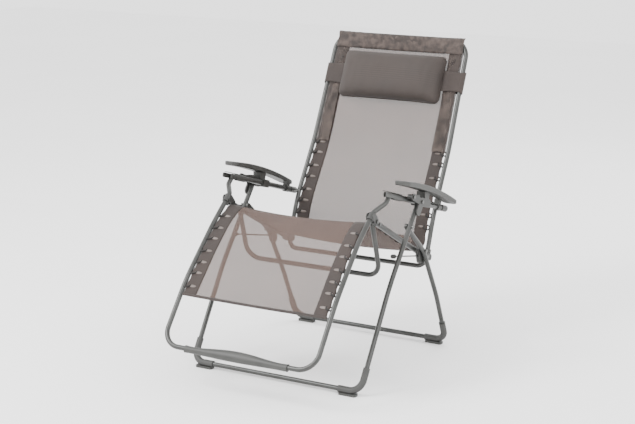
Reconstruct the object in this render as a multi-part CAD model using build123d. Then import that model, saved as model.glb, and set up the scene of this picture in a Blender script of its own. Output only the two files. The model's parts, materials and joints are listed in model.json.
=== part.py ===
from build123d import *
import os
from math import hypot

# Zero gravity recliner on a folding tube frame. Millimetres, +Z up, the sitter faces -Y.
# Side-view points are (back, up): back from the front floor bar, up from its tube centre.

# ---- driving dimensions -------------------------------------------------------------
TUBE_OD = 16.0            # leg, back and footrest tube
TUBE_WALL = 1.2
RAIL_OD = 18.0            # seat rail tube
FLOOR_RISE = 17.0         # tube centre of the floor bars above the ground
ORIGIN_BACK = 313.9       # side-view distance from the front floor bar to the origin
FIT = 0.05                # radial running clearance of a pin in its hole
GAP = 0.4                 # clearance between neighbouring pieces

FRONT_HALF = 314.0        # half widths to the tube centres
REAR_HALF = 302.0
SEAT_HALF = 269.0
BACK_HALF_HIP = 268.5
BACK_HALF_TOP = 257.0
LEG_HALF_KNEE = 270.0
LEG_HALF_FOOT = 279.0
ARM_HALF = 296.0
PAD_HALF = 322.0

KNEE = (160.0, 508.0)     # legrest hinge on the seat rail
SEAT_PIVOT = (444.0, 356.0)
HIP = (515.0, 318.0)      # backrest hinge on the seat rail
LEG_CROSS = (318.0, 464.0)   # rear leg hinge on the front leg
ARM_PIVOT = (375.0, 536.0)   # arm bracket on top of the front leg
ARM_FRONT = (215.0, 584.0)   # legrest end in the arm connector
ARM_REAR = (592.0, 471.0)    # backrest pin at the arm tube's end
FOOT_BAR = (-222.0, 122.0)   # bottom bar of the legrest
BACK_LOW = (524.0, 279.0)    # bottom bar of the backrest
BACK_TOP = (855.0, 1000.0)   # top bar of the backrest
SEAT_BAR = (238.0, 309.0)    # stretcher bar below the seat
REAR_FOOT = (627.0, 0.0)

BOLT_R = 3.0
HEAD_R = 6.0
HEAD_T = 4.0
SLING_T = 3.0
SLING_HALF = 240.0


# ---- small helpers ------------------------------------------------------------------
def place(x, back, up):
    """Side-view point and half width to the part's own frame."""
    return (x, back - ORIGIN_BACK, up + FLOOR_RISE)


def along(a, b, distance):
    """Point on the side-view line from a to b, at a distance from a."""
    run = hypot(b[0] - a[0], b[1] - a[1])
    return (a[0] + (b[0] - a[0]) * distance / run, a[1] + (b[1] - a[1]) * distance / run)


def sideways(a, b, distance):
    """Step at right angles to the side-view line a to b (positive is to its left)."""
    run = hypot(b[0] - a[0], b[1] - a[1])
    return (-(b[1] - a[1]) * distance / run, (b[0] - a[0]) * distance / run)


def shift(point, step):
    return (point[0] + step[0], point[1] + step[1])


def tube(points, radii, outer=TUBE_OD / 2, inner=TUBE_OD / 2 - TUBE_WALL):
    """Bent round tube; an inner radius of 0 gives a solid bar."""
    if len(points) > 2:
        path = FilletPolyline(*points, radius=radii)
    else:
        path = Line(*points)
    section = Circle(outer)
    if inner > 0:
        section -= Circle(inner)
    return sweep(Plane(origin=path @ 0, z_dir=path % 0) * section, path=path)


def cross_pin(x0, x1, point, radius):
    """Cylinder along X between x0 and x1 at a side-view point."""
    start = place(min(x0, x1), *point)
    return Plane(origin=start, z_dir=(1, 0, 0)) * extrude(Circle(radius), abs(x1 - x0))


def bar_between(x, a, b, radius, length=None):
    """Straight round bar in a plane of constant x."""
    end = b if length is None else along(a, b, length)
    return tube([place(x, *a), place(x, *end)], None, radius, 0)


def plate(x0, x1, points):
    """Flat plate between x0 and x1 with a polygonal side view."""
    outline = make_face(Polyline(*[(p[0] - ORIGIN_BACK, p[1] + FLOOR_RISE) for p in points], close=True))
    flat = Plane(origin=(min(x0, x1), 0, 0), x_dir=(0, 1, 0), z_dir=(1, 0, 0))
    return flat * extrude(outline, abs(x1 - x0))


def link_plate(x0, x1, a, b, radius):
    """Plate with round ends about two side-view points."""
    left = sideways(a, b, radius)
    right = (-left[0], -left[1])
    body = plate(x0, x1, [shift(a, left), shift(b, left), shift(b, right), shift(a, right)])
    return body + cross_pin(x0, x1, a, radius) + cross_pin(x0, x1, b, radius)


def sheet(points, thickness, half):
    """Fabric of even thickness that follows a side-view line, full width."""
    near, far = [], []
    for i, point in enumerate(points):
        before = points[max(i - 1, 0)]
        after = points[min(i + 1, len(points) - 1)]
        step = sideways(before, after, thickness / 2)
        near.append(shift(point, step))
        far.append(shift(point, (-step[0], -step[1])))
    return plate(-half, half, near + far[::-1])


def bolt(side, inner_x, outer_x, point):
    """Bolt along X with a round head at its outer end, mirrored for the left side."""
    shank = cross_pin(side * inner_x, side * outer_x, point, BOLT_R)
    head = cross_pin(side * outer_x, side * (outer_x + HEAD_T), point, HEAD_R)
    return shank + head


def hole(side, inner_x, outer_x, point, radius=BOLT_R + FIT):
    return cross_pin(side * inner_x, side * outer_x, point, radius)


def both(shape):
    """Right-hand piece and its mirror image, as one group of separate solids."""
    return Compound(children=[*shape.solids(), *mirror(shape, about=Plane.YZ).solids()])


os.makedirs("parts", exist_ok=True)
written = []


def save(shape, name):
    solids = shape.solids()
    whole = solids[0] if len(solids) == 1 else Compound(children=list(solids))
    whole.label = name
    export_step(whole, f"parts/{name}.step")
    written.append(whole.bounding_box())


def save_pair(shape, name):
    """A right-hand piece and its mirror image, as two nodes."""
    save(shape, f"{name}_right")
    save(mirror(shape, about=Plane.YZ), f"{name}_left")


def loop(side_points, radii):
    """Tube that runs up one side, across at the last point and down the other side."""
    right = [place(*p) for p in side_points]
    left = [place(-p[0], p[1], p[2]) for p in reversed(side_points)]
    return tube(right + left, radii + radii[::-1])


def at(x, point):
    return (x, point[0], point[1])


# ---- front leg frame ----------------------------------------------------------------
FRONT_BEND = (180.0, 290.0)
FRONT_HALF_BEND = FRONT_HALF + 1
front_points = [at(FRONT_HALF + 2, ARM_PIVOT), at(FRONT_HALF_BEND, FRONT_BEND), (FRONT_HALF, 0, 0)]
front_legs = loop(front_points, [900, 40])
for s in (1, -1):
    front_legs -= hole(s, 300, 340, ARM_PIVOT)
    front_legs -= hole(s, 300, 340, LEG_CROSS)
save(front_legs, "front_leg_frame")

plugs = bar_between(FRONT_HALF + 2, ARM_PIVOT, FRONT_BEND, TUBE_OD / 2 - TUBE_WALL - FIT, 14)
plugs -= hole(1, 300, 340, ARM_PIVOT, BOLT_R + 0.2)
save(both(plugs), "front_leg_end_plugs")

# ---- rear leg frame -----------------------------------------------------------------
REAR_BEND = (545.0, 180.0)
rear_top = along(LEG_CROSS, SEAT_PIVOT, 30)
rear_points = [at(REAR_HALF, rear_top), at(REAR_HALF, SEAT_PIVOT), at(REAR_HALF, REAR_BEND), at(REAR_HALF - 2, REAR_FOOT)]
rear_legs = loop(rear_points, [110, 700, 40])
EYE_T = 5.0
EYE_R = 9.0
eye = link_plate(REAR_HALF - EYE_T / 2, REAR_HALF + EYE_T / 2, LEG_CROSS, along(LEG_CROSS, SEAT_PIVOT, 36), EYE_R)
rear_legs += eye + mirror(eye, about=Plane.YZ)
for s in (1, -1):
    rear_legs -= hole(s, 290, 320, LEG_CROSS)
    rear_legs -= hole(s, 290, 320, SEAT_PIVOT)
save(rear_legs, "rear_leg_frame")

cross_bolt = bolt(1, REAR_HALF - EYE_T / 2 - 2, FRONT_HALF + 11, LEG_CROSS)
save(both(cross_bolt), "leg_hinge_bolts")
washer = cross_pin(REAR_HALF + EYE_T / 2 + 0.2, FRONT_HALF - 7.2, LEG_CROSS, HEAD_R + 1)
washer -= hole(1, 290, 330, LEG_CROSS)
save(both(washer), "leg_hinge_washers")


# ---- feet ---------------------------------------------------------------------------
FOOT_REACH = 78.0


def foot(half, corner, half_up, up_point):
    """Plastic cap round a floor bar corner, with a flat sole."""
    top = along(corner, up_point, FOOT_REACH)
    share = FOOT_REACH / hypot(up_point[0] - corner[0], up_point[1] - corner[1])
    half_top = half + (half_up - half) * share
    path = [place(half - FOOT_REACH, *corner), place(half, *corner), place(half_top, *top)]
    skin = tube(path, 40, TUBE_OD / 2 + 3, TUBE_OD / 2 + 0.15)
    sole_low = Vector(half - 44, corner[0] - ORIGIN_BACK, FLOOR_RISE - 13)
    sole = Pos(sole_low) * Box(62, 24, 8, align=(Align.CENTER, Align.CENTER, Align.MAX))
    sole = Pos(0, 0, 4) * sole
    sole = fillet(sole.edges().filter_by(Axis.Z), 6)
    return skin + (sole - tube(path, 40, TUBE_OD / 2 + 0.15, 0))


save(both(foot(FRONT_HALF, (0, 0), FRONT_HALF_BEND, FRONT_BEND)), "front_feet")
save(both(foot(REAR_HALF - 2, REAR_FOOT, REAR_HALF, REAR_BEND)), "rear_feet")

# ---- seat pivot blocks and spread-limiting rods --------------------------------------
BLOCK_IN = SEAT_HALF + RAIL_OD / 2 + 2
BLOCK_OUT = REAR_HALF - TUBE_OD / 2 - GAP
block_low = (452.0, 326.0)
block = link_plate(BLOCK_IN, BLOCK_OUT, SEAT_PIVOT, block_low, 16)
block -= hole(1, 250, 320, SEAT_PIVOT)
rod_front = (240.0, 381.0)
rod_rear = (440.0, 337.0)
ROD_R = 2.5
rod_path = [place(301, *rod_front), place(BLOCK_IN + 6, *rod_rear)]
rod = tube(rod_path, None, ROD_R, 0)
block -= tube(rod_path, None, ROD_R + FIT, 0)
save_pair(block, "seat_pivot_block")
save_pair(rod, "spread_rod")
knob = Plane(origin=place(301, *rod_front), z_dir=Vector(*rod_path[1]) - Vector(*rod_path[0]))
knob_body = knob * (Pos(0, 0, -6) * Cylinder(7, 16) - Pos(0, 0, 2) * Cylinder(ROD_R + FIT, 16))
save(both(knob_body), "spread_rod_stops")

# ---- seat rails ---------------------------------------------------------------------
RAIL_PAST = 5.0
CAP_T = 1.5
rail_front = along(KNEE, HIP, -RAIL_PAST)
rail_rear = along(HIP, KNEE, -RAIL_PAST)
rail = tube([place(SEAT_HALF, *rail_front), place(SEAT_HALF, *rail_rear)], None, RAIL_OD / 2, RAIL_OD / 2 - 1.4)
bar_top = along(KNEE, HIP, 27)
for point in (KNEE, HIP, SEAT_PIVOT, bar_top):
    rail -= hole(1, 240, 300, point)
save_pair(rail, "seat_rail")
front_cap = bar_between(SEAT_HALF, along(rail_front, HIP, -CAP_T), rail_front, RAIL_OD / 2)
rear_cap = bar_between(SEAT_HALF, rail_rear, along(rail_rear, KNEE, -CAP_T), RAIL_OD / 2)
save(both(front_cap + rear_cap), "seat_rail_caps")

pivot_bolt = bolt(1, SEAT_HALF - RAIL_OD / 2 - 2, REAR_HALF + 9, SEAT_PIVOT)
save(both(pivot_bolt), "seat_pivot_bolts")

STRETCHER_HALF = SEAT_HALF - RAIL_OD / 2 - TUBE_OD / 2 - GAP
stretcher = loop([at(STRETCHER_HALF, bar_top), at(STRETCHER_HALF, SEAT_BAR)], [48])
for s in (1, -1):
    stretcher -= hole(s, 230, 300, bar_top)
save(stretcher, "seat_stretcher_bar")
stretcher_bolt = bolt(1, STRETCHER_HALF - 10, SEAT_HALF + RAIL_OD / 2 + GAP, bar_top)
save(both(stretcher_bolt), "stretcher_bolts")


# ---- hinge knuckles on the legrest and backrest tubes ---------------------------------
CHEEK_IN = RAIL_OD / 2 + 0.6
CHEEK_T = 3.5


def knuckle(x, tube_a, tube_b, pivot, below, above):
    """Clamp round a tube with two cheeks that hold the rail's hinge bolt."""
    run = hypot(tube_b[0] - tube_a[0], tube_b[1] - tube_a[1])
    unit = ((tube_b[0] - tube_a[0]) / run, (tube_b[1] - tube_a[1]) / run)
    reach = (pivot[0] - tube_a[0]) * unit[0] + (pivot[1] - tube_a[1]) * unit[1]
    foot_point = (tube_a[0] + unit[0] * reach, tube_a[1] + unit[1] * reach)
    low = shift(foot_point, (-unit[0] * below, -unit[1] * below))
    high = shift(foot_point, (unit[0] * above, unit[1] * above))
    clamp = bar_between(x, low, high, CHEEK_IN + 2)
    body = clamp
    for near in (-CHEEK_IN - CHEEK_T, CHEEK_IN):
        body += link_plate(SEAT_HALF + near, SEAT_HALF + near + CHEEK_T, foot_point, pivot, 11)
    bore_low = shift(low, (-unit[0] * 15, -unit[1] * 15))
    bore_high = shift(high, (unit[0] * 15, unit[1] * 15))
    body -= bar_between(x, bore_low, bore_high, TUBE_OD / 2 + 0.1)
    return body - hole(1, 240, 300, pivot)


# ---- legrest ------------------------------------------------------------------------
LEG_KNEE_TOP = (158.0, 538.0)
LEG_BEND_UP = (60.0, 458.0)
LEG_BEND_LOW = (-90.0, 302.0)
arm_entry = (190.0, 563.0)
leg_tip = along(ARM_FRONT, arm_entry, 3.5)
leg_points = [at(ARM_HALF, leg_tip), at(ARM_HALF, arm_entry), at(LEG_HALF_KNEE, LEG_KNEE_TOP),
              at(LEG_HALF_KNEE, LEG_BEND_UP), at(LEG_HALF_FOOT - 3, LEG_BEND_LOW), at(LEG_HALF_FOOT, FOOT_BAR)]
legrest = loop(leg_points, [22, 22, 600, 600, 60])
save(legrest, "legrest_frame")
leg_tips = bar_between(ARM_HALF, along(leg_tip, arm_entry, -1.5), leg_tip, TUBE_OD / 2)
save(both(leg_tips), "legrest_tube_caps")
save_pair(knuckle(LEG_HALF_KNEE, LEG_BEND_UP, LEG_KNEE_TOP, KNEE, 16, 10), "knee_hinge")
knee_bolt = bolt(1, SEAT_HALF - CHEEK_IN - CHEEK_T - 3, SEAT_HALF + CHEEK_IN + CHEEK_T, KNEE)
save(both(knee_bolt), "knee_bolts")

GRIP_HALF = 188.0         # footrest cover, from its middle to an end
GRIP_END = (12.0, 11.0)   # half width and half depth of its section: ends, shoulders, middle
GRIP_SHOULDER = (13.0, 11.5)
GRIP_MIDDLE = (18.0, 12.0)
grip_faces = []
for x, (wide, deep) in ((-GRIP_HALF, GRIP_END), (-110, GRIP_SHOULDER), (0, GRIP_MIDDLE),
                        (110, GRIP_SHOULDER), (GRIP_HALF, GRIP_END)):
    centre = along(FOOT_BAR, LEG_BEND_LOW, -1 + (wide - GRIP_END[0]) * 0.6)
    ring = Plane(origin=place(x, *centre), x_dir=(0, 0.6, 0.8), z_dir=(1, 0, 0))
    grip_faces.append(ring * Ellipse(wide, deep))
grip = loft(grip_faces)
grip -= cross_pin(-200, 200, FOOT_BAR, TUBE_OD / 2 + 0.1)
save(grip, "footrest_cover")

# ---- backrest -----------------------------------------------------------------------
BACK_BEND_LOW = (582.0, 445.0)
BACK_BEND_UP = (695.0, 640.0)
back_side = [at(BACK_HALF_HIP, BACK_BEND_LOW), at(BACK_HALF_HIP - 4, BACK_BEND_UP), at(BACK_HALF_TOP, BACK_TOP)]
right_side = [at(BACK_HALF_HIP, BACK_LOW)] + back_side
half_points = [place(*p) for p in [at(0, BACK_LOW)] + right_side + [at(0, BACK_TOP)]]
half_loop = tube(half_points, [32, 600, 600, 60])
backrest = half_loop + mirror(half_loop, about=Plane.YZ)
PIN_R = 4.0
for s in (1, -1):
    backrest -= hole(s, 240, 300, ARM_REAR, PIN_R)
save(backrest, "backrest_frame")
save_pair(knuckle(BACK_HALF_HIP, BACK_LOW, BACK_BEND_LOW, HIP, 1.5, 26), "hip_hinge")
hip_bolt = bolt(1, SEAT_HALF - CHEEK_IN - CHEEK_T - 3, SEAT_HALF + CHEEK_IN + CHEEK_T, HIP)
save(both(hip_bolt), "hip_bolts")
ARM_END_IN = ARM_HALF - 11
arm_pin = cross_pin(BACK_HALF_HIP - 7, ARM_END_IN - 0.6, ARM_REAR, PIN_R)
save(both(arm_pin), "arm_rear_pins")

# ---- arm tubes, which slide through the brackets ---------------------------------------
arm_nose = along(ARM_FRONT, ARM_REAR, -44)
arm_tail = along(ARM_REAR, ARM_FRONT, -18)
connector_rear = along(ARM_FRONT, ARM_REAR, 72)
SLIDE_R = 9.0
arm_bar = bar_between(ARM_HALF, along(ARM_FRONT, ARM_REAR, 24), arm_tail, SLIDE_R)
arm_bar -= bar_between(ARM_HALF, along(ARM_FRONT, ARM_REAR, 23), along(arm_tail, ARM_FRONT, -2), SLIDE_R - 1.4)
save_pair(arm_bar, "arm_tube")

shell = bar_between(ARM_HALF, arm_nose, connector_rear, 11.7)
cavity_up = sideways(ARM_FRONT, ARM_REAR, 9.8)
cavity_down = sideways(ARM_FRONT, ARM_REAR, -40)
mouth_rear = along(ARM_FRONT, ARM_REAR, 22)
mouth_front = along(arm_nose, ARM_REAR, -5)
cavity = plate(ARM_HALF - 8.7, ARM_HALF + 8.7, [shift(mouth_front, cavity_up), shift(mouth_rear, cavity_up),
                                            shift(mouth_rear, cavity_down), shift(mouth_front, cavity_down)])
inner_mouth = along(arm_nose, ARM_REAR, 22)
shell -= cavity
shell -= plate(ARM_HALF - 13, ARM_HALF, [shift(mouth_front, cavity_up), shift(inner_mouth, cavity_up),
                                     shift(inner_mouth, cavity_down), shift(mouth_front, cavity_down)])
shell -= bar_between(ARM_HALF, along(ARM_FRONT, ARM_REAR, 10), along(ARM_FRONT, ARM_REAR, 74), SLIDE_R + 0.05)
save_pair(shell, "arm_connector")

tail_cap = bar_between(ARM_HALF, along(arm_tail, ARM_FRONT, 34), along(arm_tail, ARM_FRONT, -3), 11)
tail_cap -= bar_between(ARM_HALF, along(arm_tail, ARM_FRONT, 40), arm_tail, SLIDE_R + 0.05)
save_pair(tail_cap, "arm_tube_end")

# ---- arm bracket on the front leg: cheek, sliding clamp, posts and armrest pad -------------
CHEEK_X = FRONT_HALF + 11
CHEEK_OUT = CHEEK_X + 5
lever_pivot = (316.0, 563.0)
clamp_a = along(ARM_PIVOT, ARM_REAR, 15)
clamp_b = along(ARM_PIVOT, ARM_REAR, 50)
leg_cover = along(ARM_PIVOT, FRONT_BEND, 34)
cheek = link_plate(CHEEK_X, CHEEK_OUT, ARM_PIVOT, lever_pivot, 11)
cheek += link_plate(CHEEK_X, CHEEK_OUT, ARM_PIVOT, leg_cover, 15)
cheek += link_plate(CHEEK_X, CHEEK_OUT, ARM_PIVOT, clamp_b, 14)
web_up = sideways(ARM_PIVOT, ARM_REAR, 13)
web_down = sideways(ARM_PIVOT, ARM_REAR, -13)
web = plate(ARM_HALF - 13, CHEEK_OUT, [shift(clamp_a, web_up), shift(clamp_b, web_up),
                                   shift(clamp_b, web_down), shift(clamp_a, web_down)])
web = fillet(web.edges().filter_by(Axis.X), 4)
PAD_FRONT = (232.0, 616.0)
PAD_MID = (420.0, 560.0)
PAD_REAR = (608.0, 483.0)
post_top = (PAD_MID[0] - 14, PAD_MID[1] - 3)
post = plate(ARM_HALF + 4, CHEEK_OUT, [shift(clamp_a, (6, 0)), shift(clamp_b, (-4, 0)),
                                   shift(post_top, (24, 3)), shift(post_top, (-12, 9))])
bracket = cheek + web + post
slide_bore = bar_between(ARM_HALF, along(ARM_PIVOT, ARM_REAR, -50), along(ARM_PIVOT, ARM_REAR, 90), SLIDE_R + 0.35)
bracket -= slide_bore
bracket -= hole(1, 280, 345, ARM_PIVOT)
bracket -= hole(1, 280, 345, lever_pivot)
bracket -= cross_pin(FRONT_HALF - 9, CHEEK_X - 0.01, ARM_PIVOT, 14.5)
arm_bolt = bolt(1, FRONT_HALF - 5.5, CHEEK_OUT, ARM_PIVOT)
save(both(arm_bolt), "arm_bracket_bolts")

PAD_T = 14.0
top_front = shift(PAD_FRONT, (1, PAD_T))
top_mid = shift(PAD_MID, (5, PAD_T + 3))
top_rear = shift(PAD_REAR, (3, PAD_T - 2))
pad_profile = make_face(
    ThreePointArc(PAD_FRONT, PAD_MID, PAD_REAR) + Line(PAD_REAR, top_rear)
    + ThreePointArc(top_rear, top_mid, top_front) + Line(top_front, PAD_FRONT)
)
PAD_WIDE = 54.0
side_plane = Plane(origin=(PAD_HALF - PAD_WIDE, -ORIGIN_BACK, FLOOR_RISE), x_dir=(0, 1, 0), z_dir=(1, 0, 0))
pad_block = side_plane * extrude(pad_profile, 2 * PAD_WIDE)
pad_length = PAD_REAR[0] - PAD_FRONT[0] + 3
plan_centre = (PAD_HALF, (PAD_REAR[0] + PAD_FRONT[0] + 3) / 2 - ORIGIN_BACK)
plan = Plane.XY * Pos(*plan_centre) * RectangleRounded(PAD_WIDE, pad_length - 8, 21)
pad = pad_block & Pos(0, 0, 400) * extrude(plan, 400)
pad = fillet(pad.edges().filter_by(lambda e: e.length > 300), 4)
save_pair(pad, "armrest_pad")
bracket -= pad
save_pair(bracket, "arm_bracket")

collar_a = along(ARM_REAR, ARM_FRONT, 28)
collar_b = along(ARM_REAR, ARM_FRONT, 52)
collar = bar_between(ARM_HALF, collar_a, collar_b, 12.5)
collar += plate(ARM_HALF - 9, ARM_HALF + 9, [shift(collar_a, (-3, 4)), shift(collar_b, (3, 4)),
                                          shift(collar_b, (7, 24)), shift(collar_a, (1, 20))])
collar -= bar_between(ARM_HALF, ARM_REAR, along(ARM_REAR, ARM_FRONT, 90), SLIDE_R + 0.35)
collar -= pad
save_pair(collar, "arm_collar")

lever_tip = (366.0, 556.0)
LEVER_IN = ARM_HALF + 14
LEVER_OUT = CHEEK_X - 0.5
lever = link_plate(LEVER_IN, LEVER_OUT, lever_pivot, lever_tip, 5) + cross_pin(LEVER_IN, LEVER_OUT, lever_pivot, 8)
lever -= hole(1, 280, 345, lever_pivot)
save_pair(lever, "lock_lever")
lever_bolt = bolt(1, LEVER_IN - 1, CHEEK_OUT, lever_pivot)
save_pair(lever_bolt, "lock_lever_bolt")

# ---- fabric sling, in the three parts that the frame moves -------------------------------
back_line = [shift(BACK_TOP, (-9.3, 4.1)), shift(BACK_BEND_UP, (-3, 2)), shift(BACK_BEND_LOW, (-3, 2)), (556.0, 378.0)]
save(sheet(back_line, SLING_T, SLING_HALF), "sling_back")
seat_line = [(536.0, 350.0), (505.0, 338.0), along(HIP, KNEE, 60), along(KNEE, HIP, 50), along(KNEE, HIP, 16)]
save(sheet(seat_line, SLING_T, SLING_HALF), "sling_seat")
leg_line = [shift(LEG_KNEE_TOP, (-14, -6)), shift(LEG_BEND_UP, (3, 3)), shift(LEG_BEND_LOW, (3, 3)), (-128.0, 264.0)]
save(sheet(leg_line, SLING_T, SLING_HALF), "sling_legrest")


# ---- elastic lacing between the sling's edges and the tubes -------------------------------
def lacing(a, b, count, half_a, half_b, tube_r):
    """Short elastic cords at even steps along a side-view line; tube centre half width runs a to b."""
    run = hypot(b[0] - a[0], b[1] - a[1])
    cords = None
    for i in range(count):
        point = along(a, b, run * (i + 0.5) / count)
        half = half_a + (half_b - half_a) * (i + 0.5) / count
        cord = cross_pin(SLING_HALF + GAP, half - tube_r - GAP, point, 1.5)
        cords = cord if cords is None else cords + cord
    return cords


back_cords = lacing(shift(BACK_BEND_LOW, (-3, 2)), shift(BACK_BEND_UP, (-3, 2)), 5, BACK_HALF_HIP,
                    BACK_HALF_HIP - 4, TUBE_OD / 2)
save(both(back_cords), "lacing_back")
seat_cords = lacing(along(HIP, KNEE, 90), along(KNEE, HIP, 60), 5, SEAT_HALF, SEAT_HALF, RAIL_OD / 2)
save(both(seat_cords), "lacing_seat")
leg_cords = lacing(shift(LEG_BEND_UP, (3, 3)), shift(LEG_BEND_LOW, (3, 3)), 5, LEG_HALF_KNEE,
                   LEG_HALF_FOOT - 3, TUBE_OD / 2)
save(both(leg_cords), "lacing_legrest")

# ---- headrest pillow and the straps that hold it on the backrest tubes ---------------------
PILLOW_HALF = 198.0
pillow_low = along(BACK_TOP, BACK_BEND_UP, 232)
pillow_high = along(BACK_TOP, BACK_BEND_UP, 64)
ahead = sideways(BACK_BEND_UP, BACK_TOP, 1)
PILLOW_DEPTH = 56.0


def ahead_of(point, distance):
    return shift(point, (ahead[0] * distance, ahead[1] * distance))


pillow_line = [ahead_of(pillow_low, 12), ahead_of(pillow_high, 12), ahead_of(along(pillow_high, pillow_low, 30), 40),
               ahead_of(along(pillow_high, pillow_low, 84), PILLOW_DEPTH), ahead_of(along(pillow_low, pillow_high, 30), 42)]
save(plate(-PILLOW_HALF, PILLOW_HALF, pillow_line), "headrest_pillow")

strap_low = along(BACK_TOP, BACK_BEND_UP, 186)
strap_high = along(BACK_TOP, BACK_BEND_UP, 110)
STRAP_X = BACK_HALF_TOP + 2.7
strap_plate = plate(PILLOW_HALF + GAP, STRAP_X, [ahead_of(strap_low, 10.2), ahead_of(strap_high, 10.2),
                                             ahead_of(strap_high, 12.2), ahead_of(strap_low, 12.2)])
strap_ring = bar_between(STRAP_X, strap_low, strap_high, 12.5) - bar_between(
    STRAP_X, along(strap_low, strap_high, -1), along(strap_high, strap_low, -1), 9.6)
save_pair(strap_plate + strap_ring, "headrest_strap")

low_y = min(box.min.Y for box in written)
high_y = max(box.max.Y for box in written)
low_z = min(box.min.Z for box in written)
print("y range", low_y, high_y, "centre", (low_y + high_y) / 2, "lowest", low_z, "nodes", len(written))
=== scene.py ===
import json
import math

import bpy
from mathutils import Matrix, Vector, noise


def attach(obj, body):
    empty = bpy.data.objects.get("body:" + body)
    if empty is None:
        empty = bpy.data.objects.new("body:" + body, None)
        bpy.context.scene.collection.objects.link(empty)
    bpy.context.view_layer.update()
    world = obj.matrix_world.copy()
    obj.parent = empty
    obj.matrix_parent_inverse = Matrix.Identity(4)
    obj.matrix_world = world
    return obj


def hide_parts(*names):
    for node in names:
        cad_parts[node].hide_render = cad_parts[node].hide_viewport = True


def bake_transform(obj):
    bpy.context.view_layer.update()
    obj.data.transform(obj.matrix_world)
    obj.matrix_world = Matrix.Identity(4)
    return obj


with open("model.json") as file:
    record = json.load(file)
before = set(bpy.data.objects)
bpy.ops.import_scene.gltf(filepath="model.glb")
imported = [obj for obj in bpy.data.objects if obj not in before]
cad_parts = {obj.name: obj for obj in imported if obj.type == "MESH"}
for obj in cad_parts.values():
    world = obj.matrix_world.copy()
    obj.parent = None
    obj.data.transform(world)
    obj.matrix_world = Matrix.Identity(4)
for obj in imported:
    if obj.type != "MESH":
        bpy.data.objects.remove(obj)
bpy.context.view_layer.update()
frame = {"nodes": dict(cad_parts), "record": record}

# ---- driving sizes, metres; side-view points are (back, up) from the front floor bar ------
ORIGIN_BACK = 0.3139      # front floor bar to the middle of the footprint
FLOOR_RISE = 0.017        # floor bar's centre above the ground
STEP = 0.007              # spacing of the rows along the cloth
MESH_T = 0.0006
BORDER_T = 0.0024
BORDER_W = 0.049
SCALLOP = 0.0028          # depth of the border's waves between two lacing points
LACE_R = 0.0026
LACE_PITCH = 0.045
TUBE_R = 0.008
RAIL_R = 0.009
PILLOW_HALF = 0.197

# half widths of the cloth: top bar, seat, foot end
HALF_BACK = 0.2455
HALF_SEAT = 0.256
HALF_FOOT = 0.266

# half widths to the tube centres
BACK_TUBE_TOP = 0.257
BACK_TUBE_BEND = 0.2645
BACK_TUBE_HIP = 0.2685
RAIL_HALF = 0.269
LEG_TUBE_KNEE = 0.270
LEG_TUBE_FLARE = 0.006

BACK_TOP = (0.855, 1.000)
BACK_BEND_UP = (0.695, 0.640)
BACK_BEND_LOW = (0.582, 0.445)
UPPER_BACK = 0.394        # from the top bar down to the upper bend
HIP = (0.515, 0.318)
KNEE = (0.160, 0.508)
LEG_BEND_UP = (0.060, 0.458)
LEG_BEND_LOW = (-0.090, 0.302)
SIDES = ((-1, "left"), (1, "right"))


def side(point):
    """Side-view point in the shared frame, on the chair's middle plane."""
    return Vector((0, point[0] - ORIGIN_BACK, point[1] + FLOOR_RISE))


def between(a, b, share):
    """Side-view point part of the way from a to b."""
    return (a[0] + (b[0] - a[0]) * share, a[1] + (b[1] - a[1]) * share)


def catmull(p0, p1, p2, p3, t):
    """Point of the smooth curve from p1 to p2."""
    return 0.5 * ((2 * p1) + (p2 - p0) * t + (2 * p0 - 5 * p1 + 4 * p2 - p3) * t * t
                  + (3 * p1 - p0 - 3 * p2 + p3) * t ** 3)


FINE = 40                 # trial points between two corners of a line


def smooth_line(points):
    """Even points along a smooth side-view line: (place, direction, normal towards the sitter)."""
    corners = [side(p) for p in points]
    corners = [2 * corners[0] - corners[1]] + corners + [2 * corners[-1] - corners[-2]]
    dense = []
    for i in range(1, len(corners) - 2):
        for k in range(FINE):
            dense.append(catmull(*corners[i - 1:i + 3], k / FINE))
    dense.append(corners[-2])
    line, gone, need = [dense[0]], 0.0, STEP
    for a, b in zip(dense, dense[1:]):
        gone += (b - a).length
        if gone >= need:
            line.append(b)
            need += STEP
    line.append(dense[-1])
    out = []
    for i, p in enumerate(line):
        d = (line[min(i + 1, len(line) - 1)] - line[max(i - 1, 0)]).normalized()
        out.append((p, d, Vector((0, d.z, -d.y))))
    return out


# ---- materials --------------------------------------------------------------------------
def link(tree, a, out, b, into):
    tree.links.new(a.outputs[out], b.inputs[into])


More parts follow.
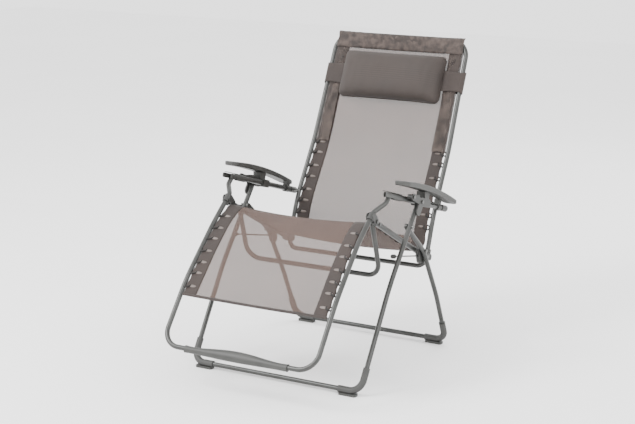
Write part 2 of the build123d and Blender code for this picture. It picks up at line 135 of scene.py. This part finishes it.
def material(name, dark, light, rough, metallic=0.0, grain=400.0, bump=0.15, alpha=1.0, sheen=0.0,
             patch=18.0):
    """Procedural surface: patches between two tones, a fine grain and uneven roughness."""
    mat = bpy.data.materials.new(name)
    mat.use_nodes = True
    tree = mat.node_tree
    shader = tree.nodes["Principled BSDF"]
    shader.inputs["Metallic"].default_value = metallic
    shader.inputs["Alpha"].default_value = alpha
    shader.inputs["Sheen Weight"].default_value = sheen
    place = tree.nodes.new("ShaderNodeTexCoord")
    patches = tree.nodes.new("ShaderNodeTexNoise")
    patches.inputs["Scale"].default_value = patch
    patches.inputs["Detail"].default_value = 6
    link(tree, place, "Object", patches, "Vector")
    ramp = tree.nodes.new("ShaderNodeValToRGB")
    ramp.color_ramp.elements[0].position = 0.35
    ramp.color_ramp.elements[0].color = (*dark, 1)
    ramp.color_ramp.elements[1].position = 0.65
    ramp.color_ramp.elements[1].color = (*light, 1)
    link(tree, patches, "Fac", ramp, "Fac")
    link(tree, ramp, "Color", shader, "Base Color")
    fine = tree.nodes.new("ShaderNodeTexNoise")
    fine.inputs["Scale"].default_value = grain
    fine.inputs["Detail"].default_value = 3
    link(tree, place, "Object", fine, "Vector")
    relief = tree.nodes.new("ShaderNodeBump")
    relief.inputs["Strength"].default_value = bump
    relief.inputs["Distance"].default_value = 0.0006
    link(tree, fine, "Fac", relief, "Height")
    link(tree, relief, "Normal", shader, "Normal")
    spread = tree.nodes.new("ShaderNodeMapRange")
    spread.inputs["To Min"].default_value = rough - 0.08
    spread.inputs["To Max"].default_value = rough + 0.1
    link(tree, patches, "Fac", spread, "Value")
    link(tree, spread, "Result", shader, "Roughness")
    return mat


WAVE_SCALE = 0.314        # the wave node's scale times its wavelength
WEAVE_ROUGH = 0.72


def weave(name, dark, light, alpha, pitch, bump=0.5, sheen=0.04, patch=9.0):
    """Woven mesh: two crossed sets of threads on the cloth's own metric UVs."""
    mat = material(name, dark, light, WEAVE_ROUGH, grain=900, bump=0.1, alpha=alpha, sheen=sheen,
                   patch=patch)
    tree = mat.node_tree
    shader = tree.nodes["Principled BSDF"]
    uv = tree.nodes.new("ShaderNodeUVMap")
    heights = []
    for direction in ("X", "Y"):
        wave = tree.nodes.new("ShaderNodeTexWave")
        wave.bands_direction = direction
        wave.inputs["Scale"].default_value = WAVE_SCALE / pitch
        wave.inputs["Distortion"].default_value = 0.4
        link(tree, uv, "UV", wave, "Vector")
        heights.append(wave)
    cross = tree.nodes.new("ShaderNodeMath")
    cross.operation = "MULTIPLY"
    link(tree, heights[0], "Fac", cross, 0)
    link(tree, heights[1], "Fac", cross, 1)
    relief = tree.nodes.new("ShaderNodeBump")
    relief.inputs["Strength"].default_value = bump
    relief.inputs["Distance"].default_value = 0.0008
    link(tree, cross, "Value", relief, "Height")
    link(tree, relief, "Normal", shader, "Normal")
    ramp = [n for n in tree.nodes if n.type == "VALTORGB"][0]
    shade = tree.nodes.new("ShaderNodeMix")
    shade.data_type = "RGBA"
    shade.blend_type = "MULTIPLY"
    threads = tree.nodes.new("ShaderNodeMapRange")
    threads.inputs["To Min"].default_value = 0.72
    threads.inputs["To Max"].default_value = 1.12
    link(tree, cross, "Value", threads, "Value")
    shade.inputs["Factor"].default_value = 1.0
    tree.links.new(ramp.outputs["Color"], shade.inputs[6])
    tree.links.new(threads.outputs["Result"], shade.inputs[7])
    tree.links.new(shade.outputs[2], shader.inputs["Base Color"])
    return mat


PAINT = material("frame_paint", (0.029, 0.030, 0.028), (0.044, 0.044, 0.042), 0.30,
                 metallic=0.3, grain=700, bump=0.08)
BOLT = material("bolt_steel", (0.088, 0.088, 0.085), (0.132, 0.132, 0.127), 0.32,
                metallic=0.9, grain=500, bump=0.1)
GREY = material("grey_plastic", (0.024, 0.024, 0.022), (0.036, 0.036, 0.033), 0.5,
                grain=1200, bump=0.25)
FOOT = material("foot_plastic", (0.028, 0.028, 0.026), (0.041, 0.041, 0.039), 0.58,
                grain=900, bump=0.35)
DARK = material("dark_plastic", (0.018, 0.018, 0.017), (0.030, 0.030, 0.028), 0.5,
                grain=900, bump=0.3)
MESH = weave("sling_mesh", (0.094, 0.057, 0.044), (0.114, 0.071, 0.056), 0.62, 0.0018)
BORDER = weave("sling_border", (0.022, 0.0135, 0.0105), (0.036, 0.0235, 0.019), 1.0, 0.0022,
               bump=0.7)
PILLOW = weave("pillow_fabric", (0.024, 0.016, 0.0128), (0.033, 0.0228, 0.0187), 1.0, 0.0024,
               bump=0.2)
POCKET = weave("pocket_mesh", (0.026, 0.017, 0.0135), (0.105, 0.078, 0.066), 0.72, 0.002,
               bump=0.6, patch=34.0)
HEM = weave("hem_mesh", (0.022, 0.014, 0.011), (0.078, 0.055, 0.046), 1.0, 0.002,
            bump=0.7, patch=52.0)
STRAP = weave("strap_fabric", (0.024, 0.015, 0.012), (0.038, 0.0255, 0.021), 1.0, 0.0022,
              bump=0.7)
# painted highlight: the lighter colour of the eyelet ovals stands in for light showing through the
# openings
EYELET_HIGHLIGHT = material("eyelet_painted_highlight", (0.100, 0.080, 0.070), (0.152, 0.126, 0.114), 0.5,
                 grain=600, bump=0.2)
LACE = material("elastic", (0.006, 0.005, 0.004), (0.012, 0.010, 0.009), 0.75,
                grain=1500, bump=0.5)
FLOOR = material("studio_floor", (0.93, 0.93, 0.93), (0.95, 0.95, 0.95), 0.9,
                 grain=60, bump=0.02, patch=1.0)

SLOT_LOOK = {"frame_paint": PAINT, "bolt_steel": BOLT, "grey_plastic": GREY, "foot_plastic": FOOT,
             "dark_plastic": DARK, "sling_mesh": MESH, "elastic": LACE, "pillow_fabric": PILLOW}
for part in frame["record"]["subparts"]:
    node = frame["nodes"][part["node"]]
    node.data.materials.clear()
    node.data.materials.append(SLOT_LOOK[part["material_slot"]])
    for face in node.data.polygons:
        face.use_smooth = True


# ---- mesh helpers -----------------------------------------------------------------------
def new_mesh(name, verts, faces, look, uvs=None, thickness=0.0):
    """Mesh object, thickened both ways and shaded smooth."""
    data = bpy.data.meshes.new(name)
    data.from_pydata([tuple(v) for v in verts], [], faces)
    if uvs:
        layer = data.uv_layers.new(name="UVMap")
        for loop in data.loops:
            layer.data[loop.index].uv = uvs[loop.vertex_index]
    data.materials.append(look)
    piece = bpy.data.objects.new(name, data)
    bpy.context.scene.collection.objects.link(piece)
    if thickness:
        shell = piece.modifiers.new("thickness", "SOLIDIFY")
        shell.thickness = thickness
        shell.offset = 0
    settle(piece)
    return piece


def settle(piece):
    """Applies a piece's modifiers and shades it smooth."""
    if piece.modifiers:
        graph = bpy.context.evaluated_depsgraph_get()
        data = bpy.data.meshes.new_from_object(piece.evaluated_get(graph))
        old = piece.data
        piece.modifiers.clear()
        piece.data = data
        data.name = piece.name
        if old.users == 0:
            bpy.data.meshes.remove(old)
    for face in piece.data.polygons:
        face.use_smooth = True


def grid(name, rows, look, thickness, uvs):
    """Sheet through rows of points."""
    wide = len(rows[0])
    verts = [p for row in rows for p in row]
    faces = []
    for j in range(len(rows) - 1):
        for i in range(wide - 1):
            a = j * wide + i
            faces.append((a, a + 1, a + wide + 1, a + wide))
    flat = [uv for row in uvs for uv in row]
    return new_mesh(name, verts, faces, look, flat, thickness)


def carried(piece, body, slot, *nodes):
    """Lets a piece ride on one body, in place of the CAD nodes named."""
    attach(piece, body)
    if nodes:
        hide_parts(*nodes)


def cords(name, paths, radius, look):
    """Closed round cords along lists of points, as one mesh."""
    curve = bpy.data.curves.new(name + "_line", "CURVE")
    curve.dimensions = "3D"
    curve.bevel_depth = radius
    curve.bevel_resolution = 2
    curve.resolution_u = 4
    for path in paths:
        spline = curve.splines.new("NURBS")
        spline.points.add(len(path) - 1)
        for point, p in zip(spline.points, path):
            point.co = (*p, 1)
        spline.order_u = 3
        spline.use_cyclic_u = True
    holder = bpy.data.objects.new(name + "_holder", curve)
    bpy.context.scene.collection.objects.link(holder)
    graph = bpy.context.evaluated_depsgraph_get()
    data = bpy.data.meshes.new_from_object(holder.evaluated_get(graph))
    bpy.data.objects.remove(holder)
    bpy.data.curves.remove(curve)
    data.materials.clear()
    data.materials.append(look)
    data.name = name
    piece = bpy.data.objects.new(name, data)
    bpy.context.scene.collection.objects.link(piece)
    settle(piece)
    return piece


# ---- the sling's two sheets: back with rear seat, and front seat with legrest ---------------
MID_SEAT = between(HIP, KNEE, 0.5)
BACK_LINE = [(0.8512, 1.0095), (0.8446, 1.0010), (0.822, 0.945), (0.7685, 0.820), (0.692, 0.642),
             (0.634, 0.541), (0.579, 0.447), (0.5565, 0.388), (0.546, 0.359), (0.530, 0.341),
             (0.508, 0.337), (0.478, 0.343), between(HIP, KNEE, 0.25), MID_SEAT]
LEG_LINE = [MID_SEAT, between(HIP, KNEE, 0.75), (0.205, 0.4835), (0.180, 0.4955), (0.161, 0.5025),
            (0.143, 0.504), (0.126, 0.499), (0.106, 0.488), (0.063, 0.459), (-0.014, 0.386),
            (-0.087, 0.305), (-0.127, 0.262)]
SHEET_COLUMNS = 40
BORDER_COLUMNS = 6
HEM_COLUMNS = 96
BACK_WIDENS = 1.5         # the back sheet has its full width after 1 / 1.5 of its length
BACK_SAG = (0.004, 0.012, 0.004)    # dip in the first row, more in between, more by the last row
LEG_SAG = (0.008, 0.010, -0.003)
back_run = smooth_line(BACK_LINE)
leg_run = smooth_line(LEG_LINE)


def half_width(line, i, scallop=SCALLOP):
    """Half width of the sling at a row, with shallow scallops between the lacing points."""
    share = i / (len(line) - 1)
    scallop *= (1 - math.cos(2 * math.pi * i * STEP / LACE_PITCH)) / 2
    if line is back_run:
        return HALF_BACK + (HALF_SEAT - HALF_BACK) * min(1.0, share * BACK_WIDENS) - scallop
    return HALF_SEAT + (HALF_FOOT - HALF_SEAT) * share - scallop


def sag(line, i):
    """How far the cloth dips between its two edges."""
    share = i / (len(line) - 1)
    if line is back_run:
        first, middle, more = BACK_SAG
        return first + middle * math.sin(math.pi * min(1.0, share * 1.1)) + more * share
    first, middle, more = LEG_SAG
    return first + middle * math.sin(math.pi * share) * (1 - share) + more * share


def on_sling(line, i, x, lift=0.0):
    """Point of the cloth in row i, with lift towards the sitter."""
    p, d, n = line[i]
    dip = sag(line, i) * (1 - (x / half_width(line, i)) ** 2)
    return p + n * (lift - dip) + Vector((x, 0, 0))


def cloth(name, line, first, last, columns, look, thickness, lift=0.0):
    """Part of the sling between two rows.

    columns gives the xs of a row from its half widths, with and without the scallops.
    """
    rows, uvs = [], []
    for i in range(first, last + 1):
        xs = columns(half_width(line, i), half_width(line, i, 0.0))
        rows.append([on_sling(line, i, x, lift) for x in xs])
        uvs.append([(x, i * STEP) for x in xs])
    return grid(name, rows, look, thickness, uvs)


def across(edge, half):
    """Columns from edge to edge."""
    return [edge * (2 * k / SHEET_COLUMNS - 1) for k in range(SHEET_COLUMNS + 1)]


def edge_band(sign):
    """Columns of a side border: straight on its inner side, waved on its outer side."""
    def columns(edge, half):
        inner = half - BORDER_W
        wide = edge - half + BORDER_W
        return [sign * (inner + wide * k / BORDER_COLUMNS) for k in range(BORDER_COLUMNS + 1)]
    return columns


def follow_back(piece):
    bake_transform(piece)


def follow_leg(piece):
    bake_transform(piece)


def sling_half(name, line, follow, nodes):
    """One sheet of the sling with its doubled side borders."""
    end = len(line) - 1
    sheet = cloth(name, line, 0, end, across, MESH, MESH_T)
    follow(sheet)
    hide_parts(*nodes)
    extras = []
    for sign, tag in SIDES:
        band = cloth(f"{name}_border_{tag}", line, 0, end, edge_band(sign), BORDER, BORDER_T)
        follow(band)
        extras.append(band)
    return sheet, extras


back_sheet, back_extras = sling_half("sling_back_cloth", back_run, follow_back,
                                     ["sling_back", "sling_seat"])
leg_sheet, leg_extras = sling_half("sling_leg_cloth", leg_run, follow_leg, ["sling_legrest"])


def hem(name, line, first, last, half_extra, thickness, follow, look=BORDER, ripple=0.0, lift=0.0):
    """Doubled band across the sling, lightly rumpled."""
    rows, uvs = [], []
    for i in range(first, last + 1):
        half = half_width(line, i) + half_extra
        xs = [half * (2 * k / HEM_COLUMNS - 1) for k in range(HEM_COLUMNS + 1)]
        creases = [abs(noise.noise(Vector((x * 45, i * STEP * 90, 3.1)))) * ripple for x in xs]
        rows.append([on_sling(line, i, x, lift + crease) for x, crease in zip(xs, creases)])
        uvs.append([(x, i * STEP) for x in xs])
    piece = grid(name, rows, look, thickness, uvs)
    follow(piece)
    return piece


# second layer under the seat
LINING_GAP = 0.0018
LINING_TOP = (0.556, 0.378)
back_seat_row = next(i for i, (p, d, n) in enumerate(back_run) if p.z < side(LINING_TOP).z)
leg_knee_row = next(i for i, (p, d, n) in enumerate(leg_run) if p.y < side(KNEE).y)
for name, line, first, last, follow, group in (
        ("seat_lining_rear", back_run, back_seat_row, len(back_run) - 1, follow_back, back_extras),
        ("seat_lining_front", leg_run, 0, leg_knee_row, follow_leg, leg_extras)):
    lining = cloth(name, line, first, last, across, MESH, MESH_T, -LINING_GAP)
    follow(lining)
    group.append(lining)

last_leg = len(leg_run) - 1
TOP_HEM_ROWS = 8
leg_extras.append(hem("legrest_hem", leg_run, last_leg - 2, last_leg, half_extra=0.001,
                      thickness=0.0032, follow=follow_leg))
back_extras.append(hem("top_hem", back_run, 0, TOP_HEM_ROWS, half_extra=0.002, thickness=0.0034,
                       follow=follow_back, look=HEM, ripple=0.0060, lift=0.0016))


# ---- painted highlights at the eyelets, and elastic lacing ----------------------------------
def tube_half(body, i, line):
    """Half width to the backrest's or legrest's tube centre beside a row of the sling."""
    z = line[i][0].z - FLOOR_RISE
    if body == "backrest":
        if z > BACK_BEND_UP[1]:
            share = (z - BACK_BEND_UP[1]) / (BACK_TOP[1] - BACK_BEND_UP[1])
            return BACK_TUBE_BEND + (BACK_TUBE_TOP - BACK_TUBE_BEND) * share
        share = max(0.0, (z - BACK_BEND_LOW[1]) / (BACK_BEND_UP[1] - BACK_BEND_LOW[1]))
        return BACK_TUBE_HIP + (BACK_TUBE_BEND - BACK_TUBE_HIP) * share
    share = (LEG_BEND_UP[1] - z) / (LEG_BEND_UP[1] - LEG_BEND_LOW[1])
    return LEG_TUBE_KNEE + LEG_TUBE_FLARE * min(max(share, 0.0), 1.4)


LACE_BITE = 0.0006        # how far the elastic is pressed against the tube
SHORT_LACE = 0.008        # gap between border and tube under which a loop starts further in
LACE_LENGTH = 0.017
LACE_IN = 0.007           # start of the other loops, in from the border's edge
LACE_SPREAD = 0.0085      # how far a loop opens along the tube
LACE_RISE = (0.0030, 0.0052, 0.0046)    # above the cloth: at its start, the edge and the tube


def lace_loop(line, i, sign, tube_x, tube_r, centre_drop):
    """Loop of elastic from the border to the inner side of the tube."""
    p, d, n = line[i]
    edge = half_width(line, i)
    reach = tube_x - tube_r + LACE_BITE
    near = reach - edge < SHORT_LACE
    start = reach - LACE_LENGTH if near else edge - LACE_IN
    centre = p - n * centre_drop
    at_start, at_edge, at_tube = LACE_RISE
    shape = [(start, at_start), (edge, at_edge), (reach - 0.001, at_tube), (reach + 0.0012, 0.0),
             (reach - 0.001, -at_tube), (edge, -at_edge), (start, -at_start), (start - 0.002, 0.0)]
    points = []
    for k, (x, h) in enumerate(shape):
        spread = LACE_SPREAD * math.sin(2 * math.pi * (k + 0.5) / len(shape))
        base = p if x < edge + 0.001 else centre
        points.append(base + n * h + d * spread + Vector((sign * x, 0, 0)))
    return points


EYELET_IN = 0.023         # eyelet slot's middle from the border's edge
HIGHLIGHT_HALF = (0.0135, 0.0046)
HIGHLIGHT_POINTS = 20
HIGHLIGHT_LIFT = 0.0018


def highlight_disc(line, i, sign):
    """Lighter oval round an eyelet, on the sitter's side of the border: a painted highlight for the
    light showing through the eyelet.
    """
    p, d, n = line[i]
    x_mid = half_width(line, i) - EYELET_IN
    ring = []
    for k in range(HIGHLIGHT_POINTS):
        a = 2 * math.pi * k / HIGHLIGHT_POINTS
        x = x_mid + HIGHLIGHT_HALF[0] * math.cos(a)
        ring.append(on_sling(line, i, sign * x, HIGHLIGHT_LIFT) + d * (HIGHLIGHT_HALF[1] * math.sin(a)))
    return ring


HIGHLIGHT_T = 0.0007


def lacing(body, line, laced, node, drop):
    """All loops and painted eyelet highlights of one part of the sling; drop is from cloth to
    tubes.
    """
    loops, verts, faces = [], [], []
    rows = []
    s = laced[0]
    while s <= laced[1]:
        rows.append(min(int(round(s / STEP)), len(line) - 1))
        s += LACE_PITCH
    for i in rows:
        for sign in (-1, 1):
            loops.append(lace_loop(line, i, sign, tube_half(body, i, line), TUBE_R, drop))
            ring = highlight_disc(line, i, sign)
            faces.append(tuple(range(len(verts), len(verts) + len(ring)))[::sign])
            verts += ring
    carried(cords(f"elastic_{body}", loops, LACE_R, LACE), body, "elastic", node)
    # lighter ovals at each eyelet: a painted highlight for the light through the openings, not a
    # real patch
    patches = new_mesh(f"eyelet_highlights_{body}", verts, faces, EYELET_HIGHLIGHT, thickness=HIGHLIGHT_T)
    carried(patches, body, "sling_mesh")


back_length = STEP * (len(back_run) - 1)
leg_length = STEP * (len(leg_run) - 1)
LACE_END = 0.02           # from the last loop to the end of a sheet
BACK_LACED = (0.405, 0.70)          # laced stretches, from the start of each sheet
LEG_LACED = (0.275, leg_length - LACE_END)
FRONT_LACE = 0.025        # first loop of the front seat
SEAT_LACES = 3
lacing("backrest", back_run, BACK_LACED, "lacing_back", 0.0036)
lacing("legrest", leg_run, LEG_LACED, "lacing_legrest", 0.003)
rear_rows = [int((back_length - LACE_END - k * LACE_PITCH) / STEP) for k in range(SEAT_LACES)]
front_rows = [int((FRONT_LACE + k * LACE_PITCH) / STEP) for k in range(SEAT_LACES)]
seat_loops = [lace_loop(line, i, sign, RAIL_HALF, RAIL_R, 0.0)
              for line, lace_rows in ((back_run, rear_rows), (leg_run, front_rows))
              for i in lace_rows for sign in (-1, 1)]
carried(cords("elastic_seat", seat_loops, LACE_R, LACE), "seat", "elastic", "lacing_seat")

# ---- headrest pillow ------------------------------------------------------------------------
PILLOW_TOP = 0.064
PILLOW_LOW = 0.232
PILLOW_DEPTH = 0.054
PILLOW_BACK = 0.0125      # pillow's back ahead of the tube centres
PILLOW_REAR = 0.003       # depth of its flat rear half
PILLOW_AROUND = 48
PILLOW_ALONG = 60
PILLOW_CLOTH = (0.4, 0.36)
up_back = (side(BACK_TOP) - side(BACK_BEND_UP)).normalized()
ahead = Vector((0, -up_back.z, up_back.y))


def on_back(from_top, lift, x):
    """Point beside the upper back: down from the top bar and ahead of the tubes."""
    return side(BACK_TOP) - up_back * from_top + ahead * lift + Vector((x, 0, 0))


def pillow_rows():
    """Closed pillow: rows run round the cross section, columns along its length."""
    rows = []
    for j in range(PILLOW_AROUND):
        a = 2 * math.pi * j / PILLOW_AROUND
        row = []
        for k in range(PILLOW_ALONG + 1):
            t = 2 * k / PILLOW_ALONG - 1
            end = max(0.0, 1 - abs(t) ** 30) ** 0.5
            plump = max(0.0, 1 - abs(t) ** 5) ** 0.6
            height = (PILLOW_LOW - PILLOW_TOP) / 2 * (0.955 + 0.045 * abs(t) ** 4)
            y = math.cos(a)
            z = math.sin(a)
            sy = math.copysign(abs(y) ** 0.6, y)
            depth = PILLOW_DEPTH * (0.10 + 0.90 * plump) if z > 0 else PILLOW_REAR
            crease = noise.noise(Vector((t * 9, y * 2.2, z * 2.0))) * 0.0022 * (0.4 + abs(t) ** 3)
            crease += noise.noise(Vector((t * 24, y * 5, z * 4))) * 0.0030 * abs(t) ** 5
            lift = PILLOW_BACK + depth * abs(z) ** 0.62 * (1 if z > 0 else -0.2)
            lift += crease if z > 0.1 else 0
            x = PILLOW_HALF * t * (1 - 0.018 * (1 - abs(y)) * abs(t) ** 6)
            from_top = (PILLOW_TOP + PILLOW_LOW) / 2 + sy * height * (0.82 + 0.18 * end)
            row.append(on_back(from_top, lift, x))
        rows.append(row)
    return rows


rows = pillow_rows()
wide = len(rows[0])
verts = [p for row in rows for p in row]
faces = []
for j in range(len(rows)):
    nxt = (j + 1) % len(rows)
    for i in range(wide - 1):
        faces.append((j * wide + i, nxt * wide + i, nxt * wide + i + 1, j * wide + i + 1))
faces.append(tuple(j * wide for j in range(len(rows)))[::-1])
faces.append(tuple(j * wide + wide - 1 for j in range(len(rows))))
pillow_uv = [(i / PILLOW_ALONG * PILLOW_CLOTH[0], j / PILLOW_AROUND * PILLOW_CLOTH[1])
             for j in range(len(rows)) for i in range(wide)]
pillow = new_mesh("pillow", verts, faces, PILLOW, pillow_uv)
carried(pillow, "backrest", "pillow_fabric", "headrest_pillow")
PIPING_R = 0.0022
SEAM_IN = 0.0005
upper_seam = [rows[0][i] - up_back * SEAM_IN for i in range(1, wide - 1, 2)]
lower_seam = [rows[PILLOW_AROUND // 2][i] + up_back * SEAM_IN for i in range(wide - 2, 0, -2)]
piping = cords("pillow_piping", [upper_seam + lower_seam], PIPING_R, STRAP)
carried(piping, "backrest", "pillow_fabric")

# ---- straps from the pillow round the back tubes ----------------------------------------------
STRAP_TOP = 0.110
STRAP_LOW = 0.186
STRAP_ROWS = 12
STRAP_T = 0.0016
STRAP_R = 0.0112          # strap's middle round the tube
STRAP_TUBE = 0.2597       # half width to the tube centre where the strap is
STRAP_OUTLINE = [(0.190, 0.0150), (0.205, 0.0126), (0.225, 0.0116), (0.245, 0.0118)]
STRAP_OUTLINE += [(STRAP_TUBE - 0.002, 0.0116)]
STRAP_OUTLINE += [(STRAP_TUBE + STRAP_R * math.sin(math.radians(a)),
                   STRAP_R * math.cos(math.radians(a))) for a in range(15, 196, 20)]
STRAP_OUTLINE += [(0.244, -0.0090), (0.228, -0.0070)]
STRAP_FRONT = 5           # outline points that lie free in front of the tube


def pillow_strap(sign, tag):
    """Strap from the pillow's end round the back tube, slack in front and pulled at its edges."""
    rows, uvs = [], []
    for k in range(STRAP_ROWS + 1):
        s = STRAP_TOP + (STRAP_LOW - STRAP_TOP) * k / STRAP_ROWS
        row, uv = [], []
        for m, (x, lift) in enumerate(STRAP_OUTLINE):
            loose = 0.0016 if m < STRAP_FRONT else 0.0005
            slack = noise.noise(Vector((x * 40, s * 34, sign * 2.0))) * loose
            tug = -0.004 * math.sin(math.pi * m / 8) * (k / STRAP_ROWS - 0.5) * 2 if m < 8 else 0
            row.append(on_back(s + tug, lift + max(slack, -0.0008), sign * x))
            uv.append((x, s))
        rows.append(row)
        uvs.append(uv)
    band = grid(f"pillow_strap_{tag}", rows, STRAP, STRAP_T, uvs)
    carried(band, "backrest", "pillow_fabric", f"headrest_strap_{tag}")


for sign, tag in SIDES:
    pillow_strap(sign, tag)

# ---- sleeve of the sling round the top bar ----------------------------------------------------
SLEEVE_HALF = 0.196
SLEEVE_R = TUBE_R + 0.0013
SLEEVE_T = 0.0012
SLEEVE_COLUMNS = 59
SLEEVE_OUTLINE = [(0.040, 0.0030), (0.026, 0.0060), (0.012, 0.0088)]
SLEEVE_OUTLINE += [(-SLEEVE_R * math.sin(math.radians(a)), SLEEVE_R * math.cos(math.radians(a)))
                   for a in range(10, 181, 17)]
SLEEVE_OUTLINE += [(0.012, -0.0078), (0.026, -0.0010), (0.040, 0.0035)]


def top_sleeve():
    """Cloth from behind the top hem over the bar and back, puckered on its rear side."""
    rows, uvs = [], []
    for k in range(SLEEVE_COLUMNS + 1):
        x = SLEEVE_HALF * (2 * k / SLEEVE_COLUMNS - 1)
        row, uv = [], []
        for m, (from_top, lift) in enumerate(SLEEVE_OUTLINE):
            pucker = abs(noise.noise(Vector((x * 60, m * 0.35, 7.7)))) * 0.0016
            outward = ahead * (-pucker if lift < -0.004 else 0.0)
            row.append(on_back(from_top, lift, x) + outward)
            uv.append((x, from_top + 0.004 * m))
        rows.append(row)
        uvs.append(uv)
    carried(grid("top_sleeve", rows, BORDER, SLEEVE_T, uvs), "backrest", "sling_mesh")


top_sleeve()

# ---- unlaced side pockets of the upper back, loose between the border and the tube -------------
POCKET_TOP = 0.012
POCKET_LENGTH = 0.385
POCKET_IN = 0.203
POCKET_T = 0.0008
POCKET_ROWS = 89
POCKET_COLUMNS = 16
POCKET_BULGE = 0.0042
POCKET_LIFT = (0.0062, 0.004)       # ahead of the tube centres: at its inner side, less by the tube
TUBE_GAP = 0.0014


def side_pocket(sign, tag):
    """Loose strip of mesh along the tube, bulging and puckered towards the sitter."""
    rows, uvs = [], []
    for k in range(POCKET_ROWS + 1):
        from_top = POCKET_TOP + POCKET_LENGTH * k / POCKET_ROWS
        tube_x = BACK_TUBE_TOP + (BACK_TUBE_BEND - BACK_TUBE_TOP) * min(1.0, from_top / UPPER_BACK)
        half = tube_x - TUBE_R - TUBE_GAP
        row, uv = [], []
        for m in range(POCKET_COLUMNS + 1):
            share = m / POCKET_COLUMNS
            x = POCKET_IN + (half - POCKET_IN) * share
            bulge = POCKET_BULGE * math.sin(math.pi * share)
            roll = bulge * (0.6 + 0.4 * math.sin(from_top * 31 + sign))
            pucker = bulge * noise.noise(Vector((x * 55, from_top * 34, sign + 5.0)))
            lift = POCKET_LIFT[0] - POCKET_LIFT[1] * share + roll + pucker
            row.append(on_back(from_top, lift, sign * x))
            uv.append((x, from_top))
        rows.append(row)
        uvs.append(uv)
    carried(grid(f"back_pocket_{tag}", rows, POCKET, POCKET_T, uvs), "backrest", "sling_mesh")


for sign, tag in SIDES:
    side_pocket(sign, tag)

# ---- camera, floor and light --------------------------------------------------------------------
scene = bpy.context.scene
AZIMUTH = math.radians(30.618)
ELEVATION = math.radians(12.749)
LENS = 90.7
CAMERA_PLACE = (2.6045, -4.4448, 1.6597)
FLOOR_HALF = 9.0
level = math.cos(ELEVATION)
away = Vector((math.sin(AZIMUTH) * level, -math.cos(AZIMUTH) * level, math.sin(ELEVATION)))
camera = bpy.data.objects.new("camera", bpy.data.cameras.new("camera"))
camera.location = CAMERA_PLACE
camera.rotation_euler = (-away).to_track_quat("-Z", "Y").to_euler()
camera.data.lens = LENS
scene.collection.objects.link(camera)
scene.camera = camera

floor_corners = [(x * FLOOR_HALF, y * FLOOR_HALF, 0)
                 for x, y in ((-1, -1), (1, -1), (1, 1), (-1, 1))]
floor = new_mesh("floor", floor_corners, [(0, 1, 2, 3)], FLOOR)


LAMP_AIM = 0.5            # height that the lamps point at


def lamp(name, place, size, power):
    """Square soft light aimed at the middle of the chair."""
    light = bpy.data.lights.new(name, "AREA")
    light.size = size
    light.energy = power
    holder = bpy.data.objects.new(name, light)
    holder.location = place
    aim = Vector((0, 0, LAMP_AIM)) - Vector(place)
    holder.rotation_euler = aim.to_track_quat("-Z", "Y").to_euler()
    scene.collection.objects.link(holder)


lamp("key", (-2.2, -3.0, 3.6), 1.6, 230)
lamp("fill", (3.4, -2.2, 2.2), 2.5, 80)
lamp("back", (0.5, 3.2, 3.2), 2.5, 70)
world = bpy.data.worlds.new("studio")
world.use_nodes = True
world.node_tree.nodes["Background"].inputs["Color"].default_value = (1, 1, 1, 1)
world.node_tree.nodes["Background"].inputs["Strength"].default_value = 2.3
scene.world = world
